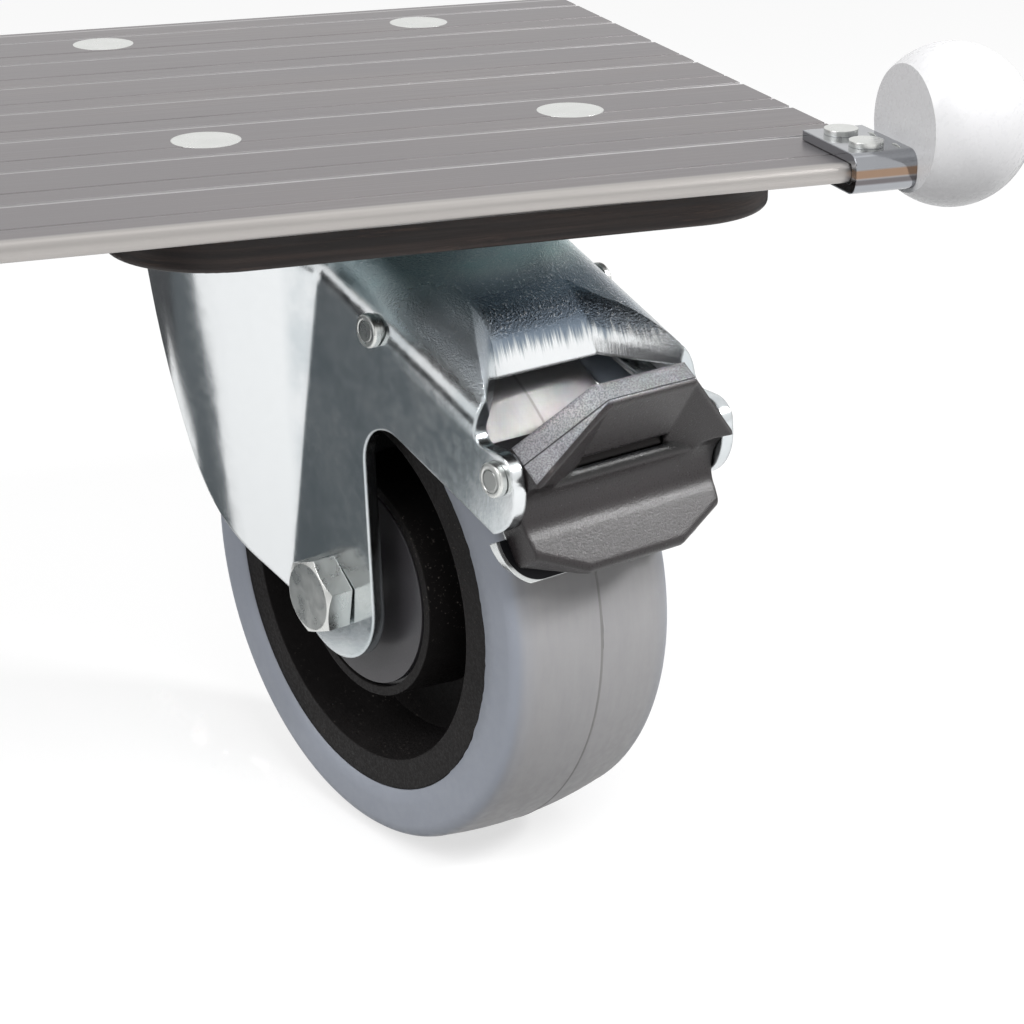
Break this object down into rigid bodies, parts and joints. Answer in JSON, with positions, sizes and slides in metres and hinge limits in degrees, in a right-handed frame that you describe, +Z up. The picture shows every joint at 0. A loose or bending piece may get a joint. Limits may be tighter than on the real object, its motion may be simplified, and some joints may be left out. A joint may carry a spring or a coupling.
{
  "type": "braked swivel castor on a trolley deck corner",
  "caption": "Braked swivel castor with a grey tyre, zinc-plated fork and black foot pedal, bolted under the corner of a grooved trolley deck that carries a round bumper.",
  "frame": {"origin": "on the deck's top face, straight above the swivel axis", "axes": "+X along the deck's front edge towards the bumper, +Y inward from that edge, +Z up"},
  "size_m": [0.212, 0.2009, 0.1913],
  "materials": {
    "zinc_sheet": "satin",
    "zinc_fastener": "satin",
    "bearing_steel": "polished",
    "tyre_grey": "matte",
    "rim_black": "matte",
    "cap_black": "satin",
    "pedal_black": "grained",
    "seal_black": "matte",
    "board_dark": "satin",
    "deck_aluminium": "satin",
    "clip_chrome": "polished",
    "bumper_grey": "satin"
  },
  "bodies": {
    "deck": {"deck_plank": "deck_aluminium", "mounting_board": "board_dark", "top_plate": "zinc_sheet", "plate_bolts": "zinc_fastener", "plate_washers": "zinc_fastener", "plate_nuts": "zinc_fastener", "king_pin": "zinc_fastener", "king_nut": "zinc_fastener", "lower_cup": "zinc_sheet", "upper_balls": "bearing_steel", "lower_balls": "bearing_steel", "dust_seal": "seal_black", "bumper_clip": "clip_chrome", "clip_rivets": "zinc_fastener", "corner_bumper": "bumper_grey", "bumper_screws": "zinc_fastener"},
    "swivel_fork": {"fork": "zinc_sheet", "axle_bolt": "zinc_fastener", "axle_nut": "zinc_fastener", "axle_washer": "zinc_fastener", "axle_sleeve": "zinc_fastener", "bearing_inner_rings": "bearing_steel", "brake_pin": "zinc_fastener", "spring_pin": "zinc_fastener", "spring_spacer": "zinc_fastener", "brake_spring": "zinc_sheet"},
    "wheel": {"tyre": "tyre_grey", "rim": "rim_black", "bearing_outer_rings": "bearing_steel", "bearing_balls": "bearing_steel", "dust_caps": "cap_black"},
    "pedal": {"pedal_lever": "zinc_sheet", "pedal_cover": "pedal_black", "cover_screws": "zinc_fastener"}
  },
  "joints": [
    {"name": "swivel", "type": "hinge", "parent": "deck", "child": "swivel_fork", "pos_m": [0, 0, -0.015], "axis": [0, 0, 1], "continuous": true},
    {"name": "wheel_spin", "type": "hinge", "parent": "swivel_fork", "child": "wheel", "pos_m": [0.01203, -0.03815, -0.107], "axis": [0.9537, 0.3007, 0], "continuous": true},
    {"name": "brake_pedal", "type": "hinge", "parent": "swivel_fork", "child": "pedal", "pos_m": [0.03124, -0.09909, -0.06], "axis": [0.9537, 0.3007, 0], "range_deg": [0, 10.5]}
  ]
}
